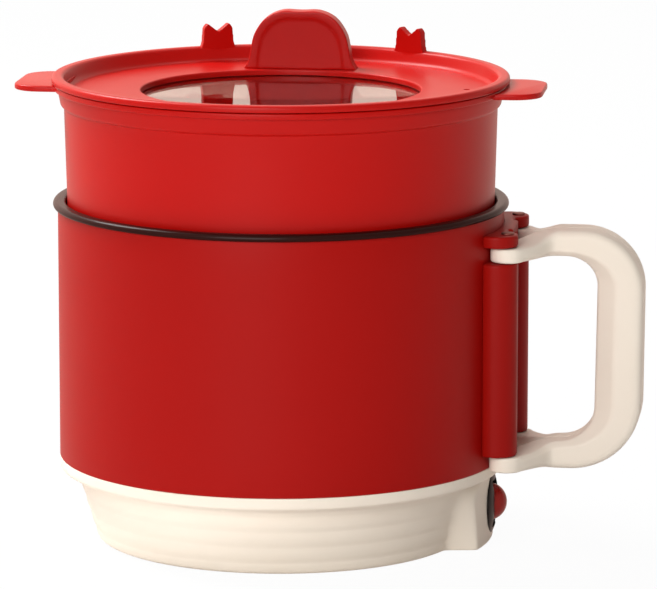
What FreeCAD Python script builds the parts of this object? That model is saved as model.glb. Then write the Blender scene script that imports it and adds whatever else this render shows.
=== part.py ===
import FreeCAD, Part
import math
import os
import Sketcher

# Electric egg cooker: cream base, red body, dark coated pot, red steamer tub, red lid with a window,
# and a cream loop handle whose two leaves fold apart round pins on a red bracket.
# Millimetres. Origin on the pot's axis at the table, +X towards the handle, +Z up.

doc = FreeCAD.newDocument("EggCooker")
sheet = doc.addObject("Spreadsheet::Sheet", "Sizes")

DIMENSIONS = {
    # base
    "footRadius": 66.0, "footLip": 0.4, "neckRadius": 73.6, "neckTop": 25.2, "bandBottom": 26.4,
    "bandTop": 30.6, "spigotRadius": 77.8, "spigotTop": 34.0, "spigotWall": 2.0, "ribLedge": 0.4,
    "ribRound": 14.0, "baseWall": 2.6, "plateRadius": 62.8, "plateThick": 3.0,
    # switch boss, inlet boss
    "bossReach": 75.0, "bossHalf": 28.0, "bossCorner": 3.2, "bossTop": 26.0, "bossFloor": 2.8,
    "bossRoof": 24.4, "bossInner": 40.0, "inletReach": 74.0, "inletHalf": 19.0, "inletCorner": 5.0,
    # body and pot
    "bodyRadius": 80.0, "bodyWall": 1.8, "bodyTop": 121.0, "potRadius": 73.0, "potWall": 1.2,
    "potFloor": 35.0, "potCorner": 8.0, "ledgeTop": 112.0, "mouthRadius": 77.1, "mouthWall": 0.8,
    "rimRadius": 81.7, "rimTop": 123.4, "rimRound": 1.1,
    # heating and fixings
    "heaterRadius": 56.0, "heaterBottom": 30.0, "elementRing": 46.0, "elementRadius": 3.2,
    "elementDepth": 26.6, "elementSweep": 300.0, "studRing": 30.0, "studRadius": 4.0, "screwRadius": 1.5,
    "screwBore": 1.6, "screwHead": 3.0, "padRing": 50.0, "padRadius": 7.0, "padThick": 1.2,
    "leadHeight": 13.0, "leadRing": 51.5, "leadRadius": 1.1,
    # switch
    "switchHeight": 14.0, "bezelRadius": 11.5, "bezelThick": 2.0, "barrelRadius": 10.0, "barrelLength": 20.0,
    "rockerPivot": 66.0, "rockerRadius": 15.5, "rockerAngle": 26.0, "rockerHalf": 5.6, "slotHalf": 6.0,
    "slotRise": 8.0, "trunnionRadius": 1.2, "trunnionReach": 7.6,
    # inlet
    "inletWide": 30.0, "inletTall": 15.0, "inletDepth": 20.0, "inletWall": 2.0, "inletPocket": 15.0,
    "inletFlange": 1.6, "inletLip": 1.5, "inletPin": 2.0, "inletPitch": 13.0, "inletPinLength": 12.0,
    # handle and bracket
    "pinReach": 83.6, "pinSpread": 21.5, "pinRadius": 1.6, "pinBore": 1.65, "knuckleRadius": 6.0,
    "railCentre": 80.2, "railRadius": 7.2, "railBottom": 36.0, "railTop": 105.4, "flangeBottom": 111.1,
    "flangeTop": 115.4, "plateHalf": 10.0, "plateFront": 84.5, "webFront": 83.0, "bracketGap": 0.3,
    "upperEarBottom": 105.7, "upperEarTop": 110.8, "lowerEarBottom": 30.2, "lowerEarTop": 35.7,
    "loopReach": 130.2, "loopTop": 116.2, "loopBottom": 29.0, "loopCorner": 22.0, "gripInside": 113.9,
    "holeTop": 106.0, "holeBottom": 39.4, "holeCorner": 11.0, "loopStart": 98.0, "loopRise": 9.0,
    "holeRise": 4.0,
    "leafSplit": 0.15, "leafWidth": 9.4, "loopRound": 4.0,
    # steamer tub
    "tubFloor": 96.0, "tubWall": 2.0, "tubLower": 72.4, "tubStep": 112.3, "tubBottomRadius": 76.3,
    "tubTopRadius": 77.6, "tubShoulder": 157.6, "collarRadius": 80.0, "collarBottom": 160.6,
    "flangeRadius": 81.0, "tubFlangeBottom": 163.2, "tubTop": 165.4, "tubMouth": 78.3, "earReach": 96.5,
    "earHalf": 18.5, "earCorner": 6.0, "drainRadius": 3.0, "drainPitch": 18.0,
    # lid
    "lidRadius": 81.8, "lidEdgeBottom": 165.7, "lidTop": 168.2, "lidRound": 1.0, "lidRimInner": 77.8,
    "lidFloor": 162.8, "lidFloorRadius": 75.9, "lidFloorThick": 1.6, "lidSkirt": 77.9, "windowRadius": 50.0,
    "ventRadius": 1.2, "ventAcross": 66.1, "ventBack": 5.7, "lugAngle": 26.5, "lugBase": 6.2,
    "lugShoulder": 5.3, "lugTip": 4.0, "lugTop": 176.6, "lugNotch": 3.0, "lugReach": 77.7, "lugThick": 3.4,
    "tabFront": 50.4, "tabThick": 7.6, "tabBaseHalf": 19.4, "tabTopHalf": 12.6, "tabTop": 184.5,
    "tabShoulder": 10.5, "tabNotch": 1.0, "tabBorder": 3.5, "tabDish": 1.4,
    "pegRadius": 2.0, "pegSpread": 12.0, "pegBack": 54.2, "pegLength": 1.5,
    "glassRadius": 54.0, "glassTop": 160.5, "glassThick": 3.0, "gasketInner": 50.6,
    "retainerInner": 51.0, "retainerSeat": 54.3, "retainerOuter": 60.0, "retainerThick": 2.0,
    "retainerScrewRing": 57.2, "retainerScrew": 1.0, "shankGap": 0.5,
}


class Size:
    """A number together with the sheet expression that gives it."""

    def __init__(self, number, text):
        self.number = number
        self.text = text

    def joined(self, other, sign, number):
        return Size(number, f"({self.text} {sign} {other.text})")

    def __add__(self, other):
        other = as_size(other)
        return self.joined(other, "+", self.number + other.number)

    def __sub__(self, other):
        other = as_size(other)
        return self.joined(other, "-", self.number - other.number)

    def __mul__(self, other):
        other = as_size(other)
        return self.joined(other, "*", self.number * other.number)

    def __truediv__(self, other):
        other = as_size(other)
        return self.joined(other, "/", self.number / other.number)

    def __radd__(self, other):
        return as_size(other) + self

    def __rsub__(self, other):
        return as_size(other) - self

    def __neg__(self):
        return Size(-self.number, f"(-{self.text})")


def as_size(value):
    if isinstance(value, Size):
        return value
    return Size(float(value), f"({value})")


class Names:
    """Gives each sheet alias as a Size attribute."""


dim = Names()
for row, (alias, number) in enumerate(DIMENSIONS.items(), start=1):
    sheet.set(f"A{row}", alias)
    sheet.set(f"B{row}", str(number))
    sheet.setAlias(f"B{row}", alias)
    setattr(dim, alias, Size(number, f"Sizes.{alias}"))
doc.recompute()

UP = FreeCAD.Rotation()
ALONG_X = FreeCAD.Rotation(FreeCAD.Vector(0, 1, 0), 90)
ALONG_Y = FreeCAD.Rotation(FreeCAD.Vector(1, 0, 0), -90)


def bind(obj, prop, value):
    obj.setExpression(prop, as_size(value).text)


def place(obj, at, turn=UP):
    obj.Placement = FreeCAD.Placement(FreeCAD.Vector(*[as_size(value).number for value in at]), turn)
    for letter, value in zip("xyz", at):
        bind(obj, f"Placement.Base.{letter}", value)


def cylinder(name, radius, height, at, turn=UP):
    solid = doc.addObject("Part::Cylinder", name)
    bind(solid, "Radius", radius)
    bind(solid, "Height", height)
    place(solid, at, turn)
    return solid


def box(name, low, high):
    solid = doc.addObject("Part::Box", name)
    for prop, start, end in zip(("Length", "Width", "Height"), low, high):
        bind(solid, prop, as_size(end) - start)
    place(solid, low)
    return solid


def torus(name, ring, radius, sweep, at, start_angle):
    solid = doc.addObject("Part::Torus", name)
    bind(solid, "Radius1", ring)
    bind(solid, "Radius2", radius)
    bind(solid, "Angle3", sweep)
    place(solid, at, FreeCAD.Rotation(FreeCAD.Vector(0, 0, 1), start_angle))
    return solid


def fuse(name, *solids):
    joined = doc.addObject("Part::MultiFuse", name)
    joined.Shapes = list(solids)
    return joined


def cut(name, base, *tools):
    result = doc.addObject("Part::Cut", name)
    result.Base = base
    result.Tool = tools[0] if len(tools) == 1 else fuse(name + "Tools", *tools)
    return result


def group(name, solids):
    joined = doc.addObject("Part::Compound", name)
    joined.Links = list(solids)
    return joined


def on_ring(ring, degrees):
    """Point on a circle round the axis, still bound to the ring's size."""
    angle = math.radians(degrees)
    return ring * round(math.cos(angle), 6), ring * round(math.sin(angle), 6)


def new_body(name):
    return doc.addObject("PartDesign::Body", name)


def sketch_on(body, role, name, lift=0.0, turn=None, shift=(0.0, 0.0)):
    """Sketch on one of the body's own planes, lifted along its normal, optionally turned and shifted."""
    plane = next(item for item in body.Origin.OriginFeatures if item.Role == role)
    sketch = body.newObject("Sketcher::SketchObject", name)
    sketch.AttachmentSupport = [(plane, "")]
    sketch.MapMode = "FlatFace"
    numbers = [as_size(value).number for value in (*shift, lift)]
    sketch.AttachmentOffset = FreeCAD.Placement(FreeCAD.Vector(*numbers), turn or UP)
    for letter, value in zip("xyz", (*shift, lift)):
        bind(sketch, f"AttachmentOffset.Base.{letter}", value)
    return sketch


def locate(sketch, curve, end, across, up):
    for kind, axis, value in (("DistanceX", -2, across), ("DistanceY", -1, up)):
        if value.number == 0:
            sketch.addConstraint(Sketcher.Constraint("PointOnObject", curve, end, axis))
            continue
        index = sketch.addConstraint(Sketcher.Constraint(kind, -1, 1, curve, end, value.number))
        bind(sketch, f"Constraints[{index}]", value)


def arc_between(start, end, radius):
    """Short arc from start to end: centre on the left for a positive radius, on the right otherwise."""
    chord = end - start
    rise = math.sqrt(max(radius * radius - chord.Length ** 2 / 4, 0.0))
    left = FreeCAD.Vector(-chord.y, chord.x, 0).normalize()
    centre = (start + end) * 0.5 + left * math.copysign(rise, radius)
    first, last = (start, end) if radius > 0 else (end, start)
    angles = [math.atan2(point.y - centre.y, point.x - centre.x) for point in (first, last)]
    circle = Part.Circle(centre, FreeCAD.Vector(0, 0, 1), abs(radius))
    return Part.ArcOfCircle(circle, angles[0], angles[1])


def outline(sketch, corners):
    """Closed outline. A corner is (across, up), or (across, up, radius) where an arc leads on."""
    points = [(as_size(corner[0]), as_size(corner[1])) for corner in corners]
    radii = [as_size(corner[2]) if len(corner) > 2 else None for corner in corners]
    vectors = [FreeCAD.Vector(across.number, up.number, 0) for across, up in points]
    ends = []
    for index, radius in enumerate(radii):
        start, stop = vectors[index], vectors[(index + 1) % len(vectors)]
        if radius is None:
            curve = sketch.addGeometry(Part.LineSegment(start, stop))
            ends.append((curve, 1, 2))
        else:
            curve = sketch.addGeometry(arc_between(start, stop, radius.number))
            ends.append((curve, 1, 2) if radius.number > 0 else (curve, 2, 1))
    for index, (curve, first, last) in enumerate(ends):
        following, following_first, _ = ends[(index + 1) % len(ends)]
        sketch.addConstraint(Sketcher.Constraint("Coincident", curve, last, following, following_first))
        locate(sketch, curve, first, *points[index])
        if radii[index] is not None:
            size = radii[index] if radii[index].number > 0 else -radii[index]
            row = sketch.addConstraint(Sketcher.Constraint("Radius", curve, size.number))
            bind(sketch, f"Constraints[{row}]", size)


def ring_hole(sketch, across, up, radius):
    across, up, radius = as_size(across), as_size(up), as_size(radius)
    centre = FreeCAD.Vector(across.number, up.number, 0)
    curve = sketch.addGeometry(Part.Circle(centre, FreeCAD.Vector(0, 0, 1), radius.number))
    locate(sketch, curve, 3, across, up)
    row = sketch.addConstraint(Sketcher.Constraint("Radius", curve, radius.number))
    bind(sketch, f"Constraints[{row}]", radius)


def rounded_block(low, high, corner):
    """Corners of a rectangle whose far end, along the first direction, is rounded at both corners."""
    (near, bottom), (far, top) = low, high
    return [(near, bottom), (far - corner, bottom, corner), (far, bottom + corner),
            (far, top - corner, corner), (far - corner, top), (near, top)]


def revolve(body, name, corners, kind="PartDesign::Revolution"):
    sketch = sketch_on(body, "XZ_Plane", name + "Sketch")
    outline(sketch, corners)
    feature = body.newObject(kind, name)
    feature.Profile = sketch
    feature.ReferenceAxis = (sketch, ["V_Axis"])
    feature.Angle = 360
    return feature


def pad(body, name, sketch, length, backwards=False):
    feature = body.newObject("PartDesign::Pad", name)
    feature.Profile = sketch
    feature.Reversed = backwards
    bind(feature, "Length", length)
    return feature


def pocket(body, name, sketch, length, backwards=False):
    feature = body.newObject("PartDesign::Pocket", name)
    feature.Profile = sketch
    feature.Reversed = backwards
    bind(feature, "Length", length)
    return feature


def polar(body, name, feature, count, sweep=360):
    pattern = body.newObject("PartDesign::PolarPattern", name)
    pattern.Originals = [feature]
    pattern.Axis = (feature.Profile[0], ["N_Axis"])
    pattern.Angle = sweep
    pattern.Occurrences = count
    body.Tip = pattern
    return pattern


parts = []


def keep(obj, label):
    obj.Label = label
    parts.append(obj)
    return obj


def make_base_shell():
    body = new_body("BaseShell")
    ribs = 5
    rise = (dim.neckTop - dim.footLip) / ribs
    flare = (dim.neckRadius - dim.footRadius) / ribs
    corners = [(0, dim.footLip)]
    for rib in range(ribs):
        foot = dim.footRadius + flare * rib
        corners.append((foot, dim.footLip + rise * rib, dim.ribRound))
        corners.append((foot + flare - dim.ribLedge, dim.footLip + rise * (rib + 1)))
    spigot_inner = dim.spigotRadius - dim.spigotWall
    corners += [(dim.neckRadius, dim.neckTop), (dim.bodyRadius, dim.bandBottom),
                (dim.bodyRadius, dim.bandTop), (dim.spigotRadius, dim.bandTop),
                (dim.spigotRadius, dim.spigotTop), (spigot_inner, dim.spigotTop),
                (spigot_inner, dim.bandTop), (0, dim.bandTop)]
    revolve(body, "BaseForm", corners)

    boss_low = (dim.bossInner, -dim.bossHalf)
    boss_high = (dim.bossReach, dim.bossHalf)
    boss = sketch_on(body, "XY_Plane", "BossSketch", dim.footLip)
    outline(boss, rounded_block(boss_low, boss_high, dim.bossCorner))
    pad(body, "Boss", boss, dim.bossTop - dim.footLip)
    turned = FreeCAD.Rotation(FreeCAD.Vector(0, 0, 1), 90)
    inlet = sketch_on(body, "XY_Plane", "InletBossSketch", dim.footLip, turned)
    outline(inlet, rounded_block((dim.bossInner, -dim.inletHalf), (dim.inletReach, dim.inletHalf),
                                 dim.inletCorner))
    pad(body, "InletBoss", inlet, dim.bossTop - dim.footLip)

    mouth = dim.footRadius - 3
    cavity = dim.neckRadius - dim.baseWall
    above = dim.spigotTop + 1
    revolve(body, "Cavity", [(0, -1), (mouth, -1), (mouth, 6), (cavity, dim.neckTop), (cavity, above),
                             (0, above)], "PartDesign::Groove")
    room = dim.bossRoof - dim.bossFloor
    wall = dim.baseWall
    hollow = sketch_on(body, "XY_Plane", "BossHollowSketch", dim.bossFloor)
    outline(hollow, rounded_block((dim.bossInner, wall - dim.bossHalf),
                                  (dim.bossReach - wall, dim.bossHalf - wall), dim.bossCorner - wall))
    pocket(body, "BossHollow", hollow, room, backwards=True)
    hollow = sketch_on(body, "XY_Plane", "InletHollowSketch", dim.bossFloor, turned)
    outline(hollow, rounded_block((dim.bossInner, wall - dim.inletHalf),
                                  (dim.inletReach - wall, dim.inletHalf - wall), dim.inletCorner - wall))
    pocket(body, "InletHollow", hollow, room, backwards=True)

    hole = sketch_on(body, "YZ_Plane", "SwitchHoleSketch", dim.bossReach + 1)
    ring_hole(hole, 0, dim.switchHeight, dim.barrelRadius + 0.2)
    pocket(body, "SwitchHole", hole, wall + 2)
    slot = sketch_on(body, "XZ_Plane", "InletHoleSketch", -(dim.inletReach + 1))
    half, tall = dim.inletWide / 2 + 0.2, dim.inletTall / 2 + 0.2
    outline(slot, [(-half, dim.switchHeight - tall), (half, dim.switchHeight - tall),
                   (half, dim.switchHeight + tall), (-half, dim.switchHeight + tall)])
    pocket(body, "InletHole", slot, wall + 2, backwards=True)
    keep(body, "base_shell")


STUD_ANGLES = (90, 210, 330)
PAD_ANGLES = (45, 135, 225, 315)


def make_base_plate():
    head_seat = 1.8
    disc = cylinder("PlateDisc", dim.plateRadius, dim.plateThick, (0, 0, 0))
    cuts = []
    for angle in STUD_ANGLES:
        across, back = on_ring(dim.studRing, angle)
        cuts.append(cylinder(f"PlateHole{angle}", dim.screwRadius + 0.4, dim.plateThick + 2,
                             (across, back, -1)))
        cuts.append(cylinder(f"PlateSeat{angle}", dim.screwHead + 0.4, head_seat + 1, (across, back, -1)))
    for angle in PAD_ANGLES:
        across, back = on_ring(dim.padRing, angle)
        cuts.append(cylinder(f"PadSeat{angle}", dim.padRadius + 0.2, dim.padThick + 1, (across, back, -1)))
    keep(cut("BasePlate", disc, *cuts), "base_plate")

    pads = []
    screws = []
    studs = []
    for angle in PAD_ANGLES:
        pads.append(cylinder(f"Pad{angle}", dim.padRadius, dim.padThick, (*on_ring(dim.padRing, angle), 0)))
    for angle in STUD_ANGLES:
        across, back = on_ring(dim.studRing, angle)
        head = cylinder(f"BaseHead{angle}", dim.screwHead, head_seat - 0.3, (across, back, 0.3))
        shank = cylinder(f"BaseShank{angle}", dim.screwRadius, 10, (across, back, 1))
        screws.append(fuse(f"BaseScrew{angle}", head, shank))
        post = cylinder(f"StudPost{angle}", dim.studRadius, dim.heaterBottom - dim.plateThick,
                        (across, back, dim.plateThick))
        bore = cylinder(f"StudBore{angle}", dim.screwBore, 10, (across, back, dim.plateThick - 1))
        studs.append(cut(f"Stud{angle}", post, bore))
    keep(group("FootPads", pads), "foot_pads")
    keep(group("BaseScrews", screws), "base_screws")
    keep(group("MountingStuds", studs), "mounting_studs")


def make_body_and_pot():
    shell = new_body("BodyShell")
    inside = dim.bodyRadius - dim.bodyWall
    revolve(shell, "ShellForm", [(inside, dim.bandTop), (dim.bodyRadius, dim.bandTop),
                                 (dim.bodyRadius, dim.bodyTop), (inside, dim.bodyTop)])
    holes = sketch_on(shell, "YZ_Plane", "ScrewHoleSketch", dim.bodyRadius + 1)
    for across, up in bracket_screw_places():
        ring_hole(holes, across, up, dim.screwRadius + 0.4)
    pocket(shell, "ScrewHoles", holes, dim.bodyWall + 4)
    keep(shell, "body_shell")

    pot = new_body("InnerPot")
    outer = dim.potRadius + dim.potWall
    mouth_outer = dim.mouthRadius + dim.mouthWall
    floor_top = dim.potFloor + dim.potWall
    corner_outer = dim.potCorner + dim.potWall
    ledge_under = dim.ledgeTop - dim.potWall
    turn = dim.rimRound
    revolve(pot, "PotForm", [
        (0, dim.potFloor), (outer - corner_outer, dim.potFloor, corner_outer),
        (outer, dim.potFloor + corner_outer), (outer, ledge_under), (mouth_outer, ledge_under),
        (mouth_outer, dim.bodyTop), (dim.rimRadius, dim.bodyTop),
        (dim.rimRadius, dim.rimTop - turn, turn), (dim.rimRadius - turn, dim.rimTop),
        (dim.mouthRadius + turn, dim.rimTop, turn), (dim.mouthRadius, dim.rimTop - turn),
        (dim.mouthRadius, dim.ledgeTop), (dim.potRadius, dim.ledgeTop),
        (dim.potRadius, floor_top + dim.potCorner, -dim.potCorner),
        (dim.potRadius - dim.potCorner, floor_top), (0, floor_top)])
    keep(pot, "inner_pot")


def make_heater():
    disc = cylinder("HeaterDisc", dim.heaterRadius, dim.potFloor - dim.heaterBottom, (0, 0, dim.heaterBottom))
    keep(disc, "heating_plate")
    first_angle, drop = 255, 11
    coil = torus("ElementCoil", dim.elementRing, dim.elementRadius, dim.elementSweep,
                 (0, 0, dim.elementDepth), first_angle)
    ends = []
    for angle in (first_angle + 3, first_angle - 63):
        across, back = on_ring(dim.elementRing, angle)
        ends.append(cylinder(f"ElementEnd{angle}", dim.elementRadius / 2, drop,
                             (across, back, dim.elementDepth - drop)))
    keep(fuse("Element", coil, *ends), "heating_element")
    cap = cylinder("ThermostatCap", 8.5, 3, (0, 0, dim.heaterBottom - 3))
    case = cylinder("ThermostatCase", 6.5, 8, (0, 0, dim.heaterBottom - 10))
    keep(fuse("Thermostat", cap, case), "thermostat")
    sleeve = cylinder("Fuse", 2.2, 24, (-12, -20, dim.heaterBottom - 2.5), ALONG_X)
    keep(sleeve, "thermal_fuse")
    for label, start, sweep in (("live_lead", 12, 60), ("neutral_lead", 108, 80), ("element_lead", 262, 86)):
        keep(torus(label.title(), dim.leadRing, dim.leadRadius, sweep, (0, 0, dim.leadHeight), start), label)


def make_switch():
    tip = 0.4
    bezel = cylinder("Bezel", dim.bezelRadius, dim.bezelThick, (dim.bossReach, 0, dim.switchHeight), ALONG_X)
    barrel = cylinder("Barrel", dim.barrelRadius, dim.barrelLength,
                      (dim.bossReach - dim.barrelLength, 0, dim.switchHeight), ALONG_X)
    floor = dim.bossReach - dim.barrelLength + 3
    slot = box("RockerSlot", (floor, -dim.slotHalf, dim.switchHeight - dim.slotRise),
               (dim.bossReach + dim.bezelThick + 1, dim.slotHalf, dim.switchHeight + dim.slotRise))
    bore = cylinder("TrunnionBore", dim.trunnionRadius + 0.05, dim.trunnionReach * 2 + tip,
                    (dim.rockerPivot, -(dim.trunnionReach + tip / 2), dim.switchHeight), ALONG_Y)
    keep(cut("SwitchHousing", fuse("SwitchSolid", bezel, barrel), slot, bore), "switch_housing")

    rocker = new_body("SwitchRocker")
    face = sketch_on(rocker, "XZ_Plane", "RockerSketch", -dim.rockerHalf)
    angle = math.radians(DIMENSIONS["rockerAngle"])
    top_across = dim.rockerPivot + dim.rockerRadius * round(math.cos(angle), 6)
    half_rise = dim.rockerRadius * round(math.sin(angle), 6)
    heel = 2.6
    outline(face, [(dim.rockerPivot - heel, dim.switchHeight - heel),
                   (top_across, dim.switchHeight - half_rise, dim.rockerRadius),
                   (top_across, dim.switchHeight + half_rise),
                   (dim.rockerPivot - heel, dim.switchHeight + heel)])
    pad(rocker, "RockerForm", face, dim.rockerHalf * 2)
    axle = sketch_on(rocker, "XZ_Plane", "AxleSketch", -dim.trunnionReach)
    ring_hole(axle, dim.rockerPivot, dim.switchHeight, dim.trunnionRadius)
    pad(rocker, "Axle", axle, dim.trunnionReach * 2)
    keep(rocker, "switch_rocker")


def make_inlet():
    half, tall = dim.inletWide / 2, dim.inletTall / 2
    low, high = dim.switchHeight - tall, dim.switchHeight + tall
    front, back = dim.inletReach, dim.inletReach - dim.inletDepth
    lip, wall = dim.inletLip, dim.inletWall
    case = box("InletCase", (-half, back, low), (half, front, high))
    flange = box("InletFlange", (-half - lip, front, low - lip),
                 (half + lip, front + dim.inletFlange, high + lip))
    hollow = box("InletHollowBox", (wall - half, front - dim.inletPocket, low + wall),
                 (half - wall, front + dim.inletFlange + 1, high - wall))
    holes = []
    pins = []
    root = back + 1
    pin_length = dim.inletPinLength + dim.inletDepth - dim.inletPocket - 1
    for side, name in ((-1, "Left"), (1, "Right")):
        place_of_pin = (dim.inletPitch / 2 * side, root, dim.switchHeight)
        holes.append(cylinder(f"PinHole{name}", dim.inletPin + 0.05, dim.inletDepth, place_of_pin, ALONG_Y))
        pins.append(cylinder(f"InletPin{name}", dim.inletPin, pin_length, place_of_pin, ALONG_Y))
    keep(cut("PowerInlet", fuse("InletSolid", case, flange), hollow, *holes), "power_inlet")
    keep(group("InletPins", pins), "inlet_pins")


def bracket_screw_places():
    spread = dim.plateHalf - 3
    low, high = dim.railBottom + 12, dim.railTop - 12
    return [(-spread, low), (spread, low), (-spread, high), (spread, high)]


def make_bracket():
    inside = dim.bodyRadius - 10
    solids = [box("BackPlate", (inside, -dim.plateHalf, dim.railBottom),
                  (dim.plateFront, dim.plateHalf, dim.flangeTop))]
    bores = [cylinder("WallClearance", dim.bodyRadius + dim.bracketGap, 200, (0, 0, 0))]
    for side, name in ((-1, "Front"), (1, "Back")):
        spread = dim.pinSpread * side
        for level, low, high in (("Rail", dim.railBottom, dim.railTop),
                                 ("Flange", dim.flangeBottom, dim.flangeTop)):
            solids.append(cylinder(f"{level}{name}", dim.railRadius, high - low,
                                   (dim.railCentre, spread, low)))
            near, far = (spread, -dim.plateHalf) if side < 0 else (dim.plateHalf, spread)
            solids.append(box(f"{level}Web{name}", (inside, near, low), (dim.webFront, far, high)))
        bores.append(cylinder(f"PinBore{name}", dim.pinBore, 200, (dim.pinReach, spread, 0)))
    for index, (across, up) in enumerate(bracket_screw_places()):
        bores.append(cylinder(f"BracketBore{index}", dim.screwBore, dim.plateFront - 1 - inside,
                              (inside, across, up), ALONG_X))
    keep(cut("HandleBracket", fuse("BracketSolid", *solids), *bores), "handle_bracket")

    screws = []
    seat = dim.bodyRadius - dim.bodyWall - 0.9
    for index, (across, up) in enumerate(bracket_screw_places()):
        head = cylinder(f"BracketHead{index}", dim.screwHead, 1.4, (seat - 1.4, across, up), ALONG_X)
        shank = cylinder(f"BracketShank{index}", dim.screwRadius, 6, (seat - 0.5, across, up), ALONG_X)
        screws.append(fuse(f"BracketScrew{index}", head, shank))
    keep(group("BracketScrews", screws), "bracket_screws")

    foot = dim.lowerEarBottom - 0.3
    for side, name in ((-1, "front"), (1, "back")):
        spread = dim.pinSpread * side
        shaft = cylinder(f"PinShaft_{name}", dim.pinRadius, dim.flangeTop + 0.5 - foot,
                         (dim.pinReach, spread, foot))
        head = cylinder(f"PinHead_{name}", dim.pinRadius + 1.1, 1, (dim.pinReach, spread, dim.flangeTop))
        keep(fuse(f"HingePin_{name}", shaft, head), f"hinge_pin_{name}")


def make_handle():
    leaf = new_body("LeafFront")
    top_start = dim.loopStart + dim.loopRise
    low_start = dim.loopStart + dim.holeRise
    loop = sketch_on(leaf, "XZ_Plane", "LoopSketch", dim.leafSplit)
    outline(loop, [
        (dim.loopStart, dim.lowerEarBottom), (low_start, dim.loopBottom),
        (dim.loopReach - dim.loopCorner, dim.loopBottom, dim.loopCorner),
        (dim.loopReach, dim.loopBottom + dim.loopCorner),
        (dim.loopReach, dim.loopTop - dim.loopCorner, dim.loopCorner),
        (dim.loopReach - dim.loopCorner, dim.loopTop), (top_start, dim.loopTop),
        (dim.loopStart, dim.upperEarTop), (dim.loopStart, dim.holeTop),
        (dim.gripInside - dim.holeCorner, dim.holeTop, -dim.holeCorner),
        (dim.gripInside, dim.holeTop - dim.holeCorner),
        (dim.gripInside, dim.holeBottom + dim.holeCorner, -dim.holeCorner),
        (dim.gripInside - dim.holeCorner, dim.holeBottom), (low_start, dim.holeBottom),
        (dim.loopStart, dim.lowerEarTop)])
    form = pad(leaf, "LoopForm", loop, dim.leafWidth)
    doc.recompute()
    cheek = -(DIMENSIONS["leafSplit"] + DIMENSIONS["leafWidth"])
    names = []
    for index, edge in enumerate(form.Shape.Edges, start=1):
        on_cheek = all(abs(vertex.Point.y - cheek) < 0.01 for vertex in edge.Vertexes)
        if on_cheek and edge.BoundBox.XMin > DIMENSIONS["loopStart"] + 0.1:
            names.append(f"Edge{index}")
    rounding = leaf.newObject("PartDesign::Fillet", "LoopRounding")
    rounding.Base = (form, names)
    bind(rounding, "Radius", dim.loopRound)

    lean = math.atan2(DIMENSIONS["pinSpread"] - DIMENSIONS["leafWidth"] / 2,
                      DIMENSIONS["loopStart"] - DIMENSIONS["pinReach"])
    side_x = dim.knuckleRadius * round(math.sin(lean), 6)
    side_y = dim.knuckleRadius * round(math.cos(lean), 6)
    outer = dim.leafSplit + dim.leafWidth
    slope = round(math.tan(lean), 6)
    outer_turn = dim.pinReach + side_x + (dim.pinSpread + side_y - outer) / slope
    inner_turn = dim.pinReach - side_x + (dim.pinSpread - side_y - dim.leafSplit) / slope
    arm_end = dim.loopStart + 8
    for level, low, high in (("Upper", dim.upperEarBottom, dim.upperEarTop),
                             ("Lower", dim.lowerEarBottom, dim.lowerEarTop)):
        arm = sketch_on(leaf, "XY_Plane", f"{level}ArmSketch", low)
        outline(arm, [(dim.pinReach + side_x, -dim.pinSpread - side_y), (outer_turn, -outer),
                      (arm_end, -outer), (arm_end, -dim.leafSplit), (inner_turn, -dim.leafSplit),
                      (dim.pinReach - side_x, side_y - dim.pinSpread)])
        pad(leaf, f"{level}Arm", arm, high - low)
        knuckle = sketch_on(leaf, "XY_Plane", f"{level}KnuckleSketch", low)
        ring_hole(knuckle, dim.pinReach, -dim.pinSpread, dim.knuckleRadius)
        pad(leaf, f"{level}Knuckle", knuckle, high - low)
    bore = sketch_on(leaf, "XY_Plane", "PinBoreSketch", dim.flangeTop)
    ring_hole(bore, dim.pinReach, -dim.pinSpread, dim.pinBore)
    pocket(leaf, "PinBore", bore, dim.flangeTop)
    keep(leaf, "handle_leaf_front")

    back = doc.addObject("Part::Mirroring", "LeafBack")
    back.Source = leaf
    back.Normal = FreeCAD.Vector(0, 1, 0)
    keep(back, "handle_leaf_back")


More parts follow.
